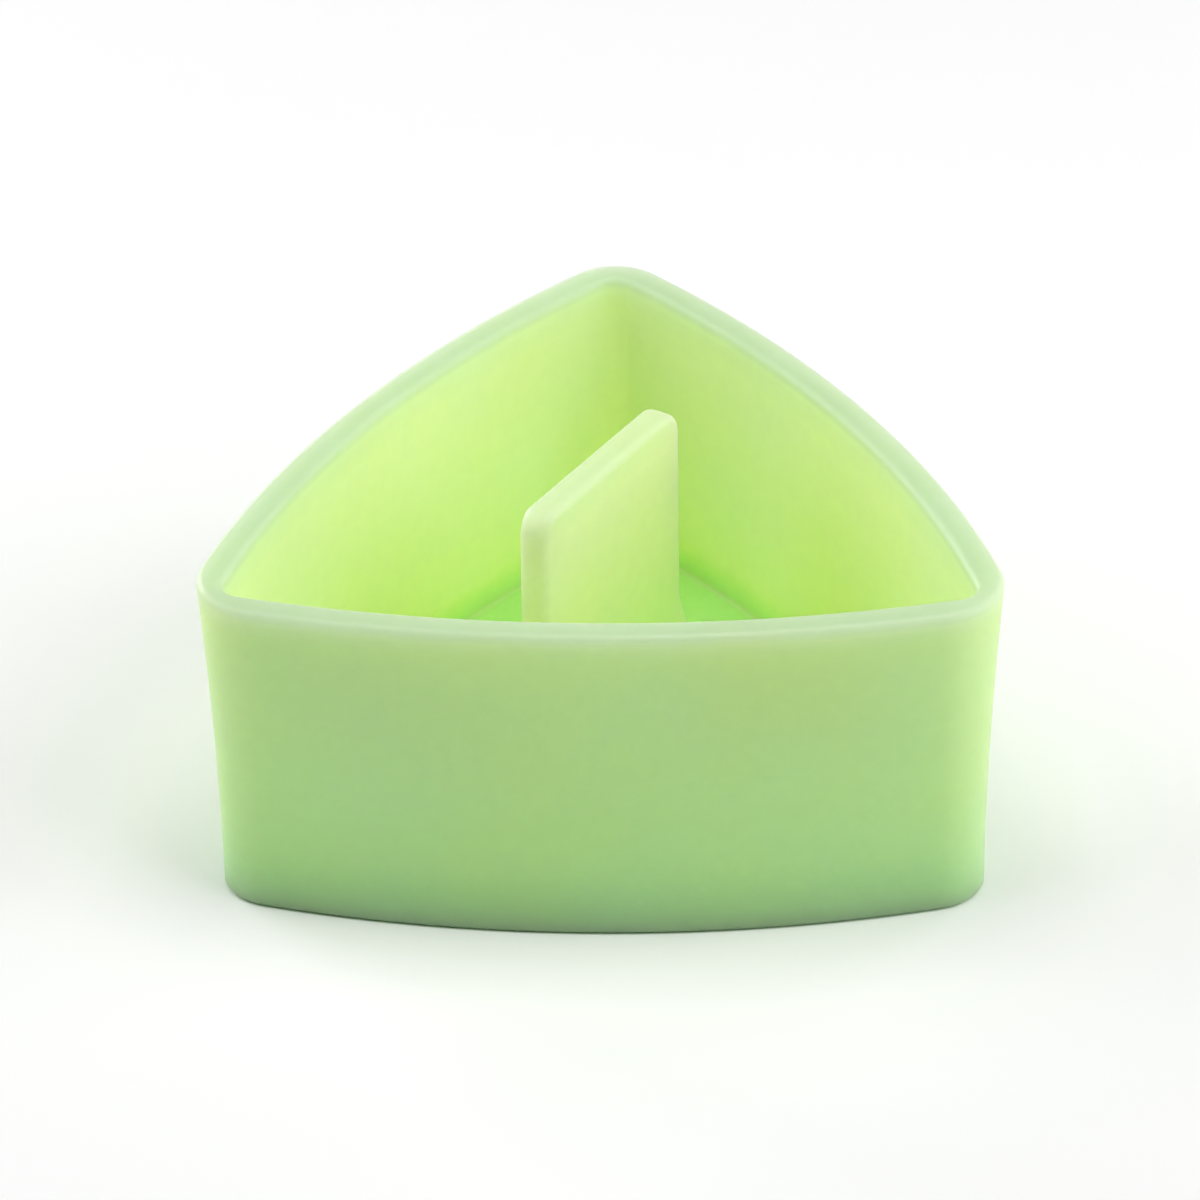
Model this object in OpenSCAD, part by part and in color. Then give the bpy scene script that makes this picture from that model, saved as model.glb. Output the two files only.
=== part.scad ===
// Three-cornered silicone casting mould: an open tray with bowed walls, and an
// upright slot core whose flared foot is bonded into the middle of the tray's floor.
// Millimetres. +Z is up and the tray stands on z = 0. The front wall faces -Y, the
// third corner points to +Y, and the origin is the centre of the triangle.

/* [Tray] */
// Width over the two front corners, at the rim
tray_w = 100; // [98:1:110]
// Height of the rim above the underside
tray_h = 44.4; // [38:0.1:46]
// Thickness of the walls
wall_t = 4.2; // [3.4:0.1:4.8]
// Thickness of the floor
floor_t = 7; // [5:0.1:7.6]
// Plan radius of the two front corners, at the rim
front_corner_r = 9.5; // [8:0.1:12]
// Plan radius of the back corner, at the rim
back_corner_r = 7.2; // [6:0.1:10]
// Plan radius of the three corners inside the tray
inner_corner_r = 2.6; // [1.2:0.1:4]
// Plan radius of the bow in the two back walls
back_bow_r = 165; // [140:1:210]
// Plan radius of the bow in the front wall, at its foot
front_bow_r = 155; // [140:1:210]
// Plan radius of the bow in the front wall, at the rim
front_rim_bow_r = 175; // [140:1:210]
// How far the foot of the wall lies inside the rim
foot_inset = 2.4; // [0.5:0.1:3]
// How sharply the wall flares near the rim, where 1 is a straight draft
flare_power = 1.63; // [1:0.01:3]
// Rounding of the outer edge of the rim
rim_outer_round = 1; // [0.3:0.1:1.4]
// Rounding of the inner edge of the rim
rim_inner_round = 1; // [0.3:0.1:1.4]
// Rounding of the bottom outer edge
base_round = 0.8; // [0.3:0.1:1.5]
// Fillet between the floor and the walls
floor_fillet = 0.8; // [0.3:0.1:1.2]

/* [Slot core] */
// Length of the upright blade
core_l = 32.8; // [24:0.2:34]
// Thickness of the upright blade
core_t = 4.1; // [3.6:0.1:5]
// Height of the blade's top above the underside of the tray
core_top = 47; // [42:0.5:54]
// Direction of the blade in plan, in degrees from +X
core_turn = 60; // [50:1:70]
// Distance of the blade from the centre of the triangle, square to its faces
core_shift = 0.8; // [0:0.1:1]
// Radius of the blade's two top corners
core_corner_r = 3.5; // [2:0.1:6]
// Rounding of the blade's edges
core_round = 1.1; // [0.5:0.1:1.5]
// Radius of the flare that carries the blade into the floor
foot_flare_r = 13.5; // [8:0.1:14]
// How deep the foot of the core sits in the floor
seat_depth = 2.5; // [1.5:0.1:3]
// Play around the foot of the core in its seat
seat_gap = 0.05; // [0.02:0.01:0.2]

/* [Smoothness] */
// Steps along each bowed wall
bow_steps = 20; // [10:1:22]
// Steps around each outer corner
corner_steps = 14; // [8:1:16]
// Steps up each face of the wall
wall_steps = 9; // [6:1:10]
// Steps in each small rounding
round_steps = 4; // [2:1:5]
// Steps around each plan corner of the core
core_corner_steps = 12; // [4:1:14]
// Steps up the flare of the foot
flare_steps = 14; // [8:1:18]

/* [Hidden] */

silicone_green = [0.72, 0.88, 0.52];

// The three corners, counter-clockwise from the right front one.
corner_dirs = [330, 90, 210];
corner_radii = [front_corner_r, back_corner_r, front_corner_r];
corner_dist = (tray_w / 2 - front_corner_r) / cos(30);

shoulder_z = tray_h - rim_outer_round;
flare_top_z = floor_t + foot_flare_r;
// The blade's plan corners are a little rounder than its edges, so they never close up.
plan_corner_r = core_round + 0.2;

function polar(r, a) = [r * cos(a), r * sin(a)];
function next(i) = (i + 1) % 3;
function direction(v) = atan2(v.y, v.x);

// How high z is, from 0 at the foot of the wall to 1 where the rim's outer rounding starts.
function rise(z) = min(z / shoulder_z, 1);

// The point rp away from p and rq away from q, on the left of the way from p to q.
function meet(p, rp, q, rq) =
    let (way = q - p, l = norm(way),
         along = (rp * rp - rq * rq + l * l) / (2 * l),
         off = sqrt(rp * rp - along * along))
    p + (way * along + [-way.y, way.x] * off) / l;

// Wall i runs from corner i to corner i + 1. The front wall comes last.
function bow_radius(i, z) =
    i < 2 ? back_bow_r : front_bow_r + (front_rim_bow_r - front_bow_r) * rise(z);

// Centre of the bow of wall i at height z. The bow is tangent to both corner circles.
function bow_centre(i, z) =
    meet(polar(corner_dist, corner_dirs[i]), bow_radius(i, z) - corner_radii[i],
         polar(corner_dist, corner_dirs[next(i)]), bow_radius(i, z) - corner_radii[next(i)]);

// Plan outline at height z, moved in by inset. Entry i of radii is the radius of the
// outline's corner at the end of wall i.
function bowed_outline(z, inset, radii) =
    let (bows = [for (i = [0:2]) bow_centre(i, z)],
         reach = [for (i = [0:2]) bow_radius(i, z) - inset],
         corners = [for (i = [0:2])
             meet(bows[i], reach[i] - radii[i], bows[next(i)], reach[next(i)] - radii[i])])
    [for (i = [0:2])
        let (start = direction(corners[next(next(i))] - bows[i]),
             end = direction(corners[i] - bows[i]),
             turn = (end - start + 360) % 360,
             corner_turn = (direction(corners[i] - bows[next(i)]) - end + 360) % 360)
        each concat(
            [for (k = [0:bow_steps]) bows[i] + polar(reach[i], start + turn * k / bow_steps)],
            [for (k = [1:corner_steps - 1])
                corners[i] + polar(radii[i], end + corner_turn * k / corner_steps)])];

function outer_ring(inset, z) =
    at_height(bowed_outline(z, inset, [for (i = [0:2]) corner_radii[next(i)] - inset]), z);
function inner_ring(inset, z) =
    let (r = inner_corner_r + max(wall_t - inset, 0))
    at_height(bowed_outline(z, inset, [r, r, r]), z);

// How far the outer wall lies inside the widest outline, at height z.
function wall_inset(z) = foot_inset * (1 - pow(rise(z), flare_power));

// Part of a rounding, as [inset, z] pairs about a centre.
function rounding(centre, r, from, to) =
    [for (k = [0:round_steps]) centre + polar(r, from + (to - from) * k / round_steps)];

// Points on a wall face between two rounded edges, as [inset, z] pairs.
function wall_face(z_from, z_to, depth) =
    [for (k = [1:wall_steps - 1])
        let (z = z_from + (z_to - z_from) * k / wall_steps)
        [wall_inset(z) + depth, z]];

// The wall's two faces as [inset, z] pairs: from the underside up to the middle of the
// rim, and from there down to the floor.
function outer_section() = concat(
    rounding([wall_inset(base_round) + base_round, base_round], base_round, 270, 180),
    wall_face(base_round, shoulder_z, 0),
    rounding([rim_outer_round, shoulder_z], rim_outer_round, 180, 90)
);
function inner_section() =
    let (fillet_z = floor_t + floor_fillet,
         fillet_inset = wall_inset(fillet_z) + wall_t + floor_fillet)
    concat(
        rounding([wall_t - rim_inner_round, tray_h - rim_inner_round], rim_inner_round, 90, 0),
        wall_face(tray_h - rim_inner_round, fillet_z, wall_t),
        rounding([fillet_inset, fillet_z], floor_fillet, 180, 270)
    );

// Plan outline of the core with every side moved out by grow.
function core_outline(grow) = rounded_box(core_l / 2 + grow, core_t / 2 + grow, plan_corner_r + grow);
function rounded_box(half_l, half_t, r) =
    [for (q = [0:3]) for (k = [0:core_corner_steps])
        let (side = [q == 0 || q == 3 ? 1 : -1, q < 2 ? 1 : -1])
        [side.x * (half_l - r), side.y * (half_t - r)]
            + polar(r, 90 * (q + k / core_corner_steps))];

// How far a quarter round of radius r has closed in, once it has risen by rise.
function closed_in(r, rise) = r - sqrt(r * r - pow(max(0, rise), 2));

// Outline of the blade at height z. Its ends close in around the top corners, and its
// faces around the top edge.
function blade_outline(z) =
    let (end_in = closed_in(core_corner_r, z - core_top + core_corner_r),
         face_in = closed_in(core_round, z - core_top + core_round))
    rounded_box(core_l / 2 - end_in, core_t / 2 - face_in, plan_corner_r - face_in);

function at_height(outline, z) = [for (p = outline) [p.x, p.y, z]];

function core_rings() =
    let (edge_z = core_top - core_round,
         edge_turn = asin(1 - core_round / core_corner_r))
    concat(
        [at_height(core_outline(foot_flare_r), floor_t - seat_depth)],
        [for (k = [0:flare_steps])
            let (a = 90 * k / flare_steps)
            at_height(core_outline(foot_flare_r * (1 - sin(a))),
                      flare_top_z - foot_flare_r * cos(a))],
        [for (k = [0:round_steps - 1])
            let (z = core_top - core_corner_r * (1 - sin(edge_turn * k / round_steps)))
            at_height(blade_outline(z), z)],
        [for (k = [0:round_steps])
            let (z = edge_z + core_round * sin(90 * k / round_steps))
            at_height(blade_outline(z), z)]
    );

// A closed solid through a stack of rings that all have the same number of points.
module loft(rings) {
    n = len(rings[0]);
    last = len(rings) - 1;
    walls = [for (i = [0:last - 1]) for (k = [0:n - 1])
        let (next = (k + 1) % n)
        [i * n + k, (i + 1) * n + k, (i + 1) * n + next, i * n + next]];
    first_face = [for (k = [0:n - 1]) k];
    last_face = [for (k = [n - 1:-1:0]) last * n + k];
    polyhedron(points = [for (ring = rings) each ring],
               faces = concat([first_face, last_face], walls));
}

module place_core() {
    rotate([0, 0, core_turn]) translate([0, core_shift, 0]) children();
}

module tray() {
    color(silicone_green)
    difference() {
        loft(concat([for (s = outer_section()) outer_ring(s[0], s[1])],
                    [for (s = inner_section()) inner_ring(s[0], s[1])]));
        // Seat for the foot of the core
        translate([0, 0, floor_t - seat_depth])
            linear_extrude(seat_depth + 1)
                place_core()
                    polygon(core_outline(foot_flare_r + seat_gap));
    }
}

module slot_core() {
    color(silicone_green)
    place_core()
        loft(core_rings());
}

tray();
slot_core();
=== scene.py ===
"""Three-cornered silicone casting mould with an upright slot core, in milky green silicone.

Everything is in metres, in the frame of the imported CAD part: +Z up, the front wall
towards -Y, the third corner towards +Y and the centre of the triangle at the origin.
"""

import math

import bmesh
import bpy
from mathutils import Matrix, Vector


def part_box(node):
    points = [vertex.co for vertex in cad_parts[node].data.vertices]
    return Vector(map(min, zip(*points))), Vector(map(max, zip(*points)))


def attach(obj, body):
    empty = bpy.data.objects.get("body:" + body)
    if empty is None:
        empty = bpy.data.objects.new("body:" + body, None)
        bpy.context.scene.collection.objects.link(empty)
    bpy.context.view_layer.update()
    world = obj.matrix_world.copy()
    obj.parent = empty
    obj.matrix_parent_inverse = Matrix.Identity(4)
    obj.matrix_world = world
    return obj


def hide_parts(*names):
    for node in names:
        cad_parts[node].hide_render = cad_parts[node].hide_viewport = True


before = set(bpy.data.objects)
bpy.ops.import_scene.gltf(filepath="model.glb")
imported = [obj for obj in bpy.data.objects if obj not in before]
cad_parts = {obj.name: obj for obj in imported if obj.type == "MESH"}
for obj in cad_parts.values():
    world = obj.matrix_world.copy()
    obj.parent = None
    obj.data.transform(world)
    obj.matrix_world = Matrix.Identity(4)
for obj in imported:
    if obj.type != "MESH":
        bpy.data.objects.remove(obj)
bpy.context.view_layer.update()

MM = 0.001

# ---------------------------------------------------------------- sizes of the part

tray_low, tray_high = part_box("tray")
core_low, core_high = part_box("slot_core")

TRAY_W = tray_high.x - tray_low.x
RIM_Z = tray_high.z
WALL = 4.2 * MM
FLOOR_Z = 7.0 * MM
CORNER_R = (9.5 * MM, 7.2 * MM, 9.5 * MM)
INNER_CORNER_R = 2.6 * MM
BACK_BOW_R = 165 * MM
FRONT_BOW_R = 155 * MM
FRONT_RIM_BOW_R = 175 * MM
CORNER_DIRS = (330, 90, 210)
FOOT_INSET = 2.4 * MM
FLARE_POWER = 1.63
RIM_OUTER = 1.0 * MM
RIM_INNER = 1.0 * MM
BASE_ROUND = 0.8 * MM
FLOOR_FILLET = 0.8 * MM

CORE_L = 32.8 * MM
CORE_T = 4.1 * MM
CORE_TOP = core_high.z
CORE_FOOT_Z = core_low.z
CORE_TURN = math.radians(60)
CORE_SHIFT = 0.8 * MM
CORE_CORNER_R = 3.5 * MM
CORE_ROUND = 1.1 * MM
# The blade's plan corners are a little rounder than its edges, so they never close up.
PLAN_ROUND = CORE_ROUND + 0.2 * MM
FLARE_R = 13.5 * MM
# Play around the foot in its seat, and under it.
SEAT_GAP = 0.01 * MM
FOOT_GAP = 0.02 * MM

CORNER_DIST = (TRAY_W / 2 - CORNER_R[0]) / math.cos(math.radians(30))
SHOULDER_Z = RIM_Z - RIM_OUTER
FLARE_TOP_Z = FLOOR_Z + FLARE_R

# How finely the meshes are made.
BOW_STEPS = 60
CORNER_STEPS = 26
ROUND_STEPS = 8
FLARE_STEPS = 30
WALL_STEP = 0.9 * MM
# Where the floor's inner rings lie, as shares of the way from its edge to the seat.
FLOOR_SHARES = (0.12, 0.4, 0.7, 0.93, 1.0)
# How far the rings that hold the seat's edges crisp lie from those edges.
EDGE_STEP = 0.3 * MM
# Halvings of the search for the seat's edge along a spoke.
SEARCH_STEPS = 30
# Faces that meet at a larger angle than this keep a sharp edge between them.
SHARP_ANGLE = math.radians(40)


# ---------------------------------------------------------------- outlines and sections

def polar(radius, angle):
    return Vector((radius * math.cos(angle), radius * math.sin(angle)))


def meet(p, rp, q, rq):
    """The point rp away from p and rq away from q, on the left of the way from p to q."""
    way = q - p
    length = way.length
    along = (rp * rp - rq * rq + length * length) / (2 * length)
    off = math.sqrt(rp * rp - along * along)
    return p + (way * along + Vector((-way.y, way.x)) * off) / length


def direction(v):
    return math.atan2(v.y, v.x)


CORNERS = [polar(CORNER_DIST, math.radians(d)) for d in CORNER_DIRS]


def rise(z):
    """How high z is, from 0 at the foot of the wall to 1 where the rim's rounding starts."""
    return min(max(z, 0) / SHOULDER_Z, 1)


def bow_radius(i, z):
    """Wall i runs from corner i to corner i + 1. The front wall comes last."""
    if i < 2:
        return BACK_BOW_R
    return FRONT_BOW_R + (FRONT_RIM_BOW_R - FRONT_BOW_R) * rise(z)


def bowed_outline(z, inset, radii):
    """Plan outline at height z, moved in by inset, with a corner radius at the end of each wall."""
    bows, reach, corners = [], [], []
    for i in range(3):
        n = (i + 1) % 3
        radius = bow_radius(i, z)
        bows.append(meet(CORNERS[i], radius - CORNER_R[i], CORNERS[n], radius - CORNER_R[n]))
        reach.append(radius - inset)
    for i in range(3):
        n = (i + 1) % 3
        corners.append(meet(bows[i], reach[i] - radii[i], bows[n], reach[n] - radii[i]))
    points = []
    for i in range(3):
        n = (i + 1) % 3
        start = direction(corners[i - 1] - bows[i])
        end = direction(corners[i] - bows[i])
        turn = (end - start) % (2 * math.pi)
        corner_turn = (direction(corners[i] - bows[n]) - end) % (2 * math.pi)
        for k in range(BOW_STEPS + 1):
            points.append(bows[i] + polar(reach[i], start + turn * k / BOW_STEPS))
        for k in range(1, CORNER_STEPS):
            points.append(corners[i] + polar(radii[i], end + corner_turn * k / CORNER_STEPS))
    return points


def outer_outline(inset, z):
    return bowed_outline(z, inset, [CORNER_R[(i + 1) % 3] - inset for i in range(3)])


def inner_outline(inset, z):
    radius = INNER_CORNER_R + max(WALL - inset, 0)
    return bowed_outline(z, inset, [radius] * 3)


def wall_inset(z):
    """How far the outer wall lies inside the widest outline, at height z."""
    return FOOT_INSET * (1 - rise(z) ** FLARE_POWER)


def rounding(inset, z, radius, start, end):
    """Part of a round edge, as (inset, z) pairs about a centre. Angles are in degrees."""
    pairs = []
    for k in range(ROUND_STEPS + 1):
        angle = math.radians(start + (end - start) * k / ROUND_STEPS)
        pairs.append((inset + radius * math.cos(angle), z + radius * math.sin(angle)))
    return pairs


def wall_face(z_from, z_to, depth):
    """Points on a wall face between two round edges, as (inset, z) pairs."""
    steps = max(2, round(abs(z_to - z_from) / WALL_STEP))
    heights = [z_from + (z_to - z_from) * k / steps for k in range(1, steps)]
    return [(wall_inset(z) + depth, z) for z in heights]


def outer_section():
    """The wall's outer face, from the underside up to the middle of the rim."""
    return (
        rounding(wall_inset(BASE_ROUND) + BASE_ROUND, BASE_ROUND, BASE_ROUND, 270, 180)
        + wall_face(BASE_ROUND, SHOULDER_Z, 0)
        + rounding(RIM_OUTER, SHOULDER_Z, RIM_OUTER, 180, 90)
    )


def inner_section():
    """The wall's inner face, from the middle of the rim down to the floor."""
    shoulder = RIM_Z - RIM_INNER
    fillet_z = FLOOR_Z + FLOOR_FILLET
    fillet_inset = wall_inset(fillet_z) + WALL + FLOOR_FILLET
    return (
        rounding(WALL - RIM_INNER, shoulder, RIM_INNER, 90, 0)
        + wall_face(shoulder, fillet_z, WALL)
        + rounding(fillet_inset, fillet_z, FLOOR_FILLET, 180, 270)
    )


def rounded_box(half_l, half_t, radius):
    """A rectangle with round corners about the origin, as points in plan."""
    points = []
    for q, (sx, sy) in enumerate(((1, 1), (-1, 1), (-1, -1), (1, -1))):
        middle = Vector((sx * (half_l - radius), sy * (half_t - radius)))
        for k in range(CORNER_STEPS + 1):
            points.append(middle + polar(radius, math.radians(90 * (q + k / CORNER_STEPS))))
    return points


def core_outline(grow):
    return rounded_box(CORE_L / 2 + grow, CORE_T / 2 + grow, PLAN_ROUND + grow)


def place_core(point):
    """Turns a point of the core's own plan into the tray's plan."""
    x, y = point.x, point.y + CORE_SHIFT
    c, s = math.cos(CORE_TURN), math.sin(CORE_TURN)
    return Vector((x * c - y * s, x * s + y * c))


def closed_in(radius, climb):
    """How far a quarter round has closed in, once it has risen by climb."""
    climb = min(max(climb, 0), radius)
    return radius - math.sqrt(radius * radius - climb * climb)


def core_rings():
    """The core's rings from its foot to its top, as (outline, z) pairs."""
    rings = [(core_outline(FLARE_R), CORE_FOOT_Z + FOOT_GAP)]
    for k in range(FLARE_STEPS + 1):
        angle = math.radians(90 * k / FLARE_STEPS)
        grow = FLARE_R * (1 - math.sin(angle))
        rings.append((core_outline(grow), FLARE_TOP_Z - FLARE_R * math.cos(angle)))
    corner_z = CORE_TOP - CORE_CORNER_R
    steps = round((corner_z - FLARE_TOP_Z) / WALL_STEP)
    heights = [FLARE_TOP_Z + (corner_z - FLARE_TOP_Z) * k / steps for k in range(1, steps)]
    edge_turn = math.asin(1 - CORE_ROUND / CORE_CORNER_R)
    heights += [corner_z + CORE_CORNER_R * math.sin(edge_turn * k / ROUND_STEPS)
                for k in range(ROUND_STEPS)]
    heights += [CORE_TOP - CORE_ROUND * (1 - math.sin(math.pi / 2 * k / ROUND_STEPS))
                for k in range(ROUND_STEPS + 1)]
    for z in heights:
        end_in = closed_in(CORE_CORNER_R, z - corner_z)
        face_in = closed_in(CORE_ROUND, z - CORE_TOP + CORE_ROUND)
        outline = rounded_box(CORE_L / 2 - end_in, CORE_T / 2 - face_in, PLAN_ROUND - face_in)
        rings.append((outline, z))
    return [([place_core(p) for p in outline], z) for outline, z in rings]


# ---------------------------------------------------------------- meshes

def new_piece(name, bm, material, node, inside=None):
    """Turns a bmesh into a smooth piece that stands for a CAD node.

    inside is 1 for each vertex inside the mould and 0 outside it; the silicone's colour uses it to
    paint the outer faces in shade and the inner faces lighter.
    """
    bmesh.ops.recalc_face_normals(bm, faces=bm.faces)
    mesh = bpy.data.meshes.new(name)
    bm.to_mesh(mesh)
    bm.free()
    mesh.shade_smooth()
    mask = mesh.attributes.new("inside", "FLOAT", "POINT")
    mask.data.foreach_set("value", inside or [1.0] * len(mesh.vertices))
    mesh.set_sharp_from_angle(angle=SHARP_ANGLE)
    mesh.materials.append(material)
    piece = bpy.data.objects.new(name, mesh)
    bpy.context.scene.collection.objects.link(piece)
    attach(piece, "root")
    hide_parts(node)
    return piece


def loft(bm, rings):
    """Walls through rings of vertices that all have the same number of points."""
    for low, high in zip(rings, rings[1:]):
        for k in range(len(low)):
            n = (k + 1) % len(low)
            bm.faces.new((low[k], low[n], high[n], high[k]))


def ring_verts(bm, outline, z):
    return [bm.verts.new((p.x, p.y, z)) for p in outline]


def seat_outline(outline):
    """The edge of the core's seat, on the same spokes as the points of outline."""
    def outside(point):
        c, s = math.cos(CORE_TURN), math.sin(CORE_TURN)
        along = point.x * c + point.y * s
        across = -point.x * s + point.y * c - CORE_SHIFT
        radius = PLAN_ROUND + FLARE_R
        a = abs(along) - (CORE_L / 2 - PLAN_ROUND)
        b = abs(across) - (CORE_T / 2 - PLAN_ROUND)
        return math.hypot(max(a, 0), max(b, 0)) + min(max(a, b), 0) - radius - SEAT_GAP > 0
    edge = []
    for p in outline:
        near, far = 0.0, 1.0
        for _ in range(SEARCH_STEPS):
            middle = (near + far) / 2
            if outside(p * middle):
                far = middle
            else:
                near = middle
        edge.append(p * far)
    return edge


def make_tray(material):
    bm = bmesh.new()
    rings = [ring_verts(bm, outer_outline(inset, z), z) for inset, z in outer_section()]
    rings += [ring_verts(bm, inner_outline(inset, z), z) for inset, z in inner_section()]
    floor = [Vector(v.co.xy) for v in rings[-1]]
    seat = seat_outline(floor)
    for share in FLOOR_SHARES:
        rings.append(ring_verts(bm, [a.lerp(b, share) for a, b in zip(floor, seat)], FLOOR_Z))
    for z in (FLOOR_Z - EDGE_STEP, CORE_FOOT_Z + EDGE_STEP, CORE_FOOT_Z):
        rings.append(ring_verts(bm, seat, z))
    loft(bm, rings)
    bm.faces.new(rings[0])
    bm.faces.new(rings[-1])
    outer_count = len(outer_section()) * len(rings[0])
    inside = [0.0] * outer_count + [1.0] * (len(bm.verts) - outer_count)
    return new_piece("silicone_tray", bm, material, "tray", inside)


def make_core(material):
    bm = bmesh.new()
    rings = [ring_verts(bm, outline, z) for outline, z in core_rings()]
    loft(bm, rings)
    bm.faces.new(rings[0])
    bm.faces.new(rings[-1])
    return new_piece("silicone_slot_core", bm, material, "slot_core")


# ---------------------------------------------------------------- silicone

class Graph:
    """Small helper that adds nodes to a material and joins them up."""

    def __init__(self, material):
        self.nodes = material.node_tree.nodes
        self.links = material.node_tree.links

    def plug(self, source, socket):
        """Joins a socket or sets a value, depending on what source is."""
        if isinstance(source, bpy.types.NodeSocket):
            self.links.new(source, socket)
        else:
            socket.default_value = source

    def add(self, kind, settings=None, **inputs):
        node = self.nodes.new(kind)
        for key, value in (settings or {}).items():
            setattr(node, key, value)
        for key, value in inputs.items():
            self.plug(value, node.inputs[key.replace("_", " ")])
        return node

    def noise(self, place, scale, detail):
        """Soft clouds between 0 and 1, with features about 1 / scale metres wide."""
        node = self.add("ShaderNodeTexNoise", Vector=place, Scale=scale, Detail=detail)
        return node.outputs["Fac"]

    def spread(self, value, low, high, from_low=0.0, from_high=1.0):
        """Value, stretched from one range to another."""
        node = self.add("ShaderNodeMapRange", From_Min=from_low, From_Max=from_high,
                        To_Min=low, To_Max=high, Value=value)
        return node.outputs["Result"]

    def ramp(self, value, stops):
        """A colour ramp through (position, colour) stops."""
        node = self.add("ShaderNodeValToRGB", Fac=value)
        elements = node.color_ramp.elements
        while len(elements) < len(stops):
            elements.new(0.5)
        for element, (position, colour) in zip(elements, stops):
            element.position = position
            element.color = (*colour, 1)
        return node.outputs["Color"]


# Sockets of a Mix node that is set to colours. They share their names with others.
MIX_FACTOR, MIX_COLOUR_A, MIX_COLOUR_B, MIX_COLOUR_OUT = 0, 6, 7, 2

# Features per metre of each pattern: pigment, specks, uneven gloss, waves and grain.
CLOUDS, SPECKS, HANDLING, WAVES, GRAIN = 45.0, 420.0, 90.0, 70.0, 1800.0
WAVE_HEIGHT, GRAIN_HEIGHT = 0.4 * MM, 0.05 * MM
BUMP_STRENGTH = 0.12

# How deep light goes: at the floor, in the tray's walls and in the blade. Above the floor
# it rises to the walls' or the blade's own depth, which it reaches at DEEP_Z.
FLOOR_DEPTH, WALL_DEPTH, BLADE_DEPTH = 0.25 * MM, 12 * MM, 12 * MM
DEEP_Z = 12 * MM


def silicone(name, inner_painted_stops, outer_painted_stops, depth):
    """Milky, pale green silicone: light goes in, scatters for some millimetres and comes out.

    The stops give its colour against height in millimetres, inside the mould and outside it.
    They paint in light and shade: lighter inner walls, a shaded floor, darker outer walls
    and a painted shade and sheen on the rims.
    depth is how far light spreads below the surface of the walls or the blade.
    """
    material = bpy.data.materials.new(name)
    material.use_nodes = True
    graph = Graph(material)
    shader = graph.nodes["Principled BSDF"]
    place = graph.add("ShaderNodeTexCoord").outputs["Object"]
    height = graph.add("ShaderNodeSeparateXYZ", Vector=place).outputs["Z"]
    inside = graph.add("ShaderNodeAttribute", {"attribute_name": "inside"}).outputs["Fac"]

    # Colour by height, with light and shade painted in: lighter inner walls, a shaded floor,
    # darker outer walls picked by the inside mask, and painted shade and sheen at the rims.
    # Clouds of slightly different hue and fine specks of lightness vary it.
    share = graph.spread(height, 0.0, 1.0, 0.0, RAMP_TOP * MM)
    inner = graph.ramp(share, [(z / RAMP_TOP, c) for z, c in inner_painted_stops])
    outer = graph.ramp(share, [(z / RAMP_TOP, c) for z, c in outer_painted_stops])
    blend = graph.nodes.new("ShaderNodeMix")
    blend.data_type = "RGBA"
    for source, socket in ((inside, MIX_FACTOR), (outer, MIX_COLOUR_A), (inner, MIX_COLOUR_B)):
        graph.plug(source, blend.inputs[socket])
    clouds = graph.noise(place, CLOUDS, 3.0)
    specks = graph.noise(place, SPECKS, 3.0)
    tinted = graph.add("ShaderNodeHueSaturation", Color=blend.outputs[MIX_COLOUR_OUT],
                       Hue=graph.spread(clouds, 0.492, 0.508, 0.3, 0.7),
                       Saturation=graph.spread(clouds, 1.05, 0.95, 0.3, 0.7),
                       Value=graph.spread(specks, 0.985, 1.015, 0.25, 0.75))
    graph.plug(tinted.outputs["Color"], shader.inputs["Base Color"])

    # The skin: satin, with a faint waviness from the mould it was cast in and a fine grain.
    handled = graph.noise(place, HANDLING, 4.0)
    graph.plug(graph.spread(handled, 0.36, 0.5, 0.3, 0.7), shader.inputs["Roughness"])
    wave = graph.add("ShaderNodeBump", Height=graph.noise(place, WAVES, 1.0),
                     Strength=BUMP_STRENGTH, Distance=WAVE_HEIGHT).outputs["Normal"]
    grain = graph.add("ShaderNodeBump", Height=graph.noise(place, GRAIN, 2.0),
                      Strength=BUMP_STRENGTH, Distance=GRAIN_HEIGHT, Normal=wave).outputs["Normal"]
    graph.plug(grain, shader.inputs["Normal"])

    shader.subsurface_method = "RANDOM_WALK"
    shader.inputs["Subsurface Weight"].default_value = 1.0
    shader.inputs["Subsurface Radius"].default_value = (1.0, 1.0, 0.85)
    # Light goes deep in the thin walls and stays near the surface of the thick floor.
    deep = graph.spread(height, FLOOR_DEPTH, depth, FLOOR_Z, DEEP_Z)
    reach = graph.add("ShaderNodeMix", Factor=inside, A=depth, B=deep).outputs["Result"]
    graph.plug(reach, shader.inputs["Subsurface Scale"])
    shader.inputs["Subsurface Anisotropy"].default_value = 0.0
    shader.inputs["IOR"].default_value = 1.41
    return material


# Colour against height in millimetres, with light and shade painted in: paler rims with painted
# shade and sheen, and a purer, darker green of painted shade at the floor.
RAMP_TOP = 48.0
# The rims' colour is painted shade and sheen: duller and bluer than the walls.
RIM_PAINTED_SHADE_AND_SHEEN = [(43.9, (0.50, 0.68, 0.39)), (44.4, (0.485, 0.665, 0.395))]
# Inside: the darker, purer green floor is painted shade in the hollow; the brighter walls are
# painted light.
INNER_PAINTED_LIGHT_AND_SHADE = [
    (0.0, (0.50, 0.87, 0.21)),
    (7.03, (0.50, 0.87, 0.21)),
    (7.3, (0.70, 0.955, 0.36)),
    (20.0, (0.715, 0.95, 0.425)),
    (39.5, (0.725, 0.945, 0.46)),
    (42.8, (0.65, 0.86, 0.45)),
] + RIM_PAINTED_SHADE_AND_SHEEN
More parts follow.
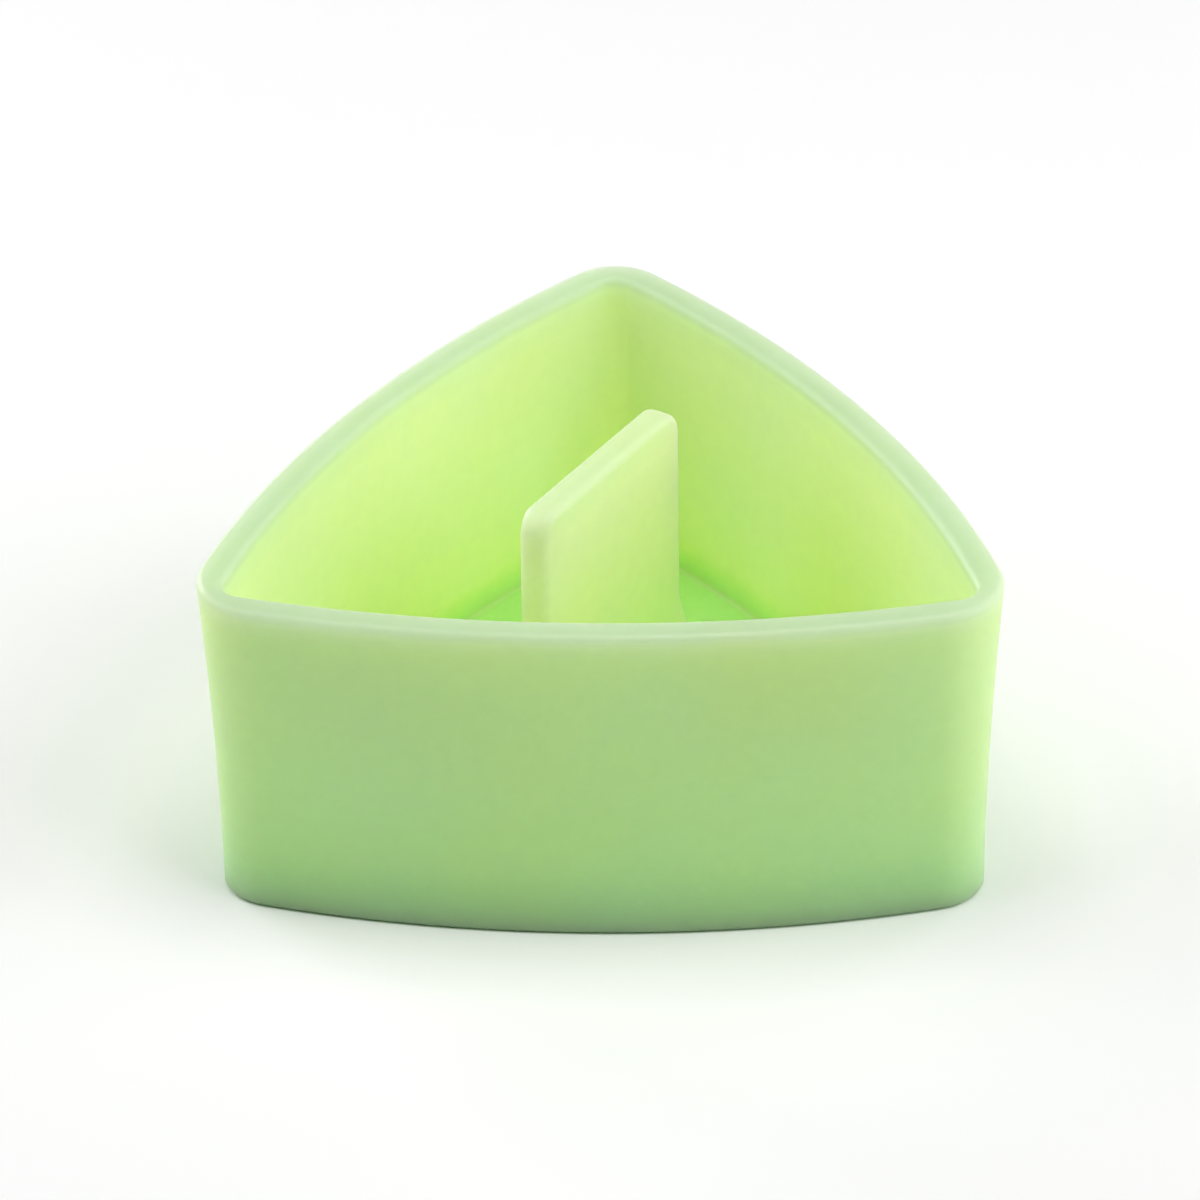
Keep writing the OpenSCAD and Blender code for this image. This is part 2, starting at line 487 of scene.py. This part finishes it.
# Outside: painted shade, darker than inside and darkest at the foot of the wall.
OUTER_PAINTED_SHADE_AND_SHEEN = [
    (0.0, (0.40, 0.72, 0.31)),
    (9.0, (0.49, 0.745, 0.33)),
    (20.0, (0.53, 0.775, 0.34)),
    (40.5, (0.555, 0.775, 0.335)),
    (42.9, (0.54, 0.745, 0.37)),
] + RIM_PAINTED_SHADE_AND_SHEEN
# The blade: painted shade at its foot, painted light up its face, painted shade and sheen on its
# top.
CORE_PAINTED_LIGHT_AND_SHADE = [
    (0.0, (0.52, 0.885, 0.22)),
    (7.1, (0.52, 0.885, 0.22)),
    (9.0, (0.58, 0.93, 0.28)),
    (16.0, (0.70, 0.97, 0.38)),
    (30.0, (0.82, 0.99, 0.47)),
    (43.0, (0.79, 0.975, 0.50)),
    (46.0, (0.66, 0.88, 0.43)),
    (47.0, (0.60, 0.83, 0.40)),
]


# ---------------------------------------------------------------- floor, lights, camera

def make_floor():
    """A wide, pale, matt floor, a hair below the part so that the two faces never meet."""
    mesh = bpy.data.meshes.new("floor")
    reach = 6.0
    gap = 0.05 * MM
    mesh.from_pydata([(-reach, -reach, 0), (reach, -reach, 0), (reach, reach, 0),
                      (-reach, reach, 0)], [], [(0, 1, 2, 3)])
    floor = bpy.data.objects.new("floor", mesh)
    floor.location.z = -gap
    bpy.context.scene.collection.objects.link(floor)
    material = bpy.data.materials.new("pale_floor")
    material.use_nodes = True
    shader = material.node_tree.nodes["Principled BSDF"]
    shader.inputs["Base Color"].default_value = (0.96, 0.96, 0.96, 1)
    shader.inputs["Roughness"].default_value = 0.9
    shader.inputs["Specular IOR Level"].default_value = 0.1
    mesh.materials.append(material)


LIGHT_DISTANCE = 0.9


def area_light(name, azimuth, elevation, size, power):
    """A square soft box that looks at the middle of the part. Azimuth 0 is in front of it.

    Angles are in degrees, size is the box's side in metres and power is in watts.
    """
    light = bpy.data.lights.new(name, "AREA")
    light.shape = "SQUARE"
    light.size = size
    light.energy = power
    lamp = bpy.data.objects.new(name, light)
    bpy.context.scene.collection.objects.link(lamp)
    a, e = math.radians(azimuth), math.radians(elevation)
    towards = Vector((math.sin(a) * math.cos(e), -math.cos(a) * math.cos(e), math.sin(e)))
    lamp.location = Vector((0, 0, RIM_Z / 2)) + towards * LIGHT_DISTANCE
    lamp.rotation_mode = "QUATERNION"
    lamp.rotation_quaternion = (-towards).to_track_quat("-Z", "Y")


def make_world():
    """A dark studio: all the light comes from the soft boxes."""
    world = bpy.data.worlds.new("studio")
    world.use_nodes = True
    world.node_tree.nodes["Background"].inputs["Strength"].default_value = 0.0
    bpy.context.scene.world = world


def make_camera():
    """A long lens that looks down into the mould from in front, almost square to the front wall."""
    azimuth, elevation, roll = math.radians(1.926), math.radians(31.427), math.radians(-0.7765)
    distance = 1.7606
    # How far the line of sight passes from the origin.
    aside, upward = -0.825 * MM, 22.82 * MM
    c, s = math.cos(elevation), math.sin(elevation)
    back = Vector((math.sin(azimuth) * c, -math.cos(azimuth) * c, s))
    right = Vector((math.cos(azimuth), math.sin(azimuth), 0))
    up = back.cross(right)
    data = bpy.data.cameras.new("camera")
    data.lens = 416.9
    data.sensor_width = 36
    data.clip_start, data.clip_end = 0.05, 50
    camera = bpy.data.objects.new("camera", data)
    bpy.context.scene.collection.objects.link(camera)
    x_axis = right * math.cos(roll) + up * math.sin(roll)
    y_axis = up * math.cos(roll) - right * math.sin(roll)
    matrix = Matrix((x_axis, y_axis, back)).transposed().to_4x4()
    matrix.translation = back * distance + right * aside + up * upward
    camera.matrix_world = matrix
    bpy.context.scene.camera = camera


bpy.context.scene.view_settings.view_transform = "Standard"
make_tray(silicone("tray_silicone", INNER_PAINTED_LIGHT_AND_SHADE, OUTER_PAINTED_SHADE_AND_SHEEN, WALL_DEPTH))
make_core(silicone("core_silicone", CORE_PAINTED_LIGHT_AND_SHADE, CORE_PAINTED_LIGHT_AND_SHADE, BLADE_DEPTH))
make_floor()
make_world()
area_light("overhead", 0, 88, 0.6, 3.7)
area_light("front_right", 60, 45, 0.6, 2.7)
area_light("right_softbox", 90, 38, 0.4, 1.2)
area_light("left_softbox", 270, 38, 0.8, 3.4)
area_light("right_low", 90, 12, 0.4, 1.65)
area_light("back_right", 135, 12, 0.4, 1.35)
area_light("back_left", 225, 12, 0.4, 3.5)
make_camera()
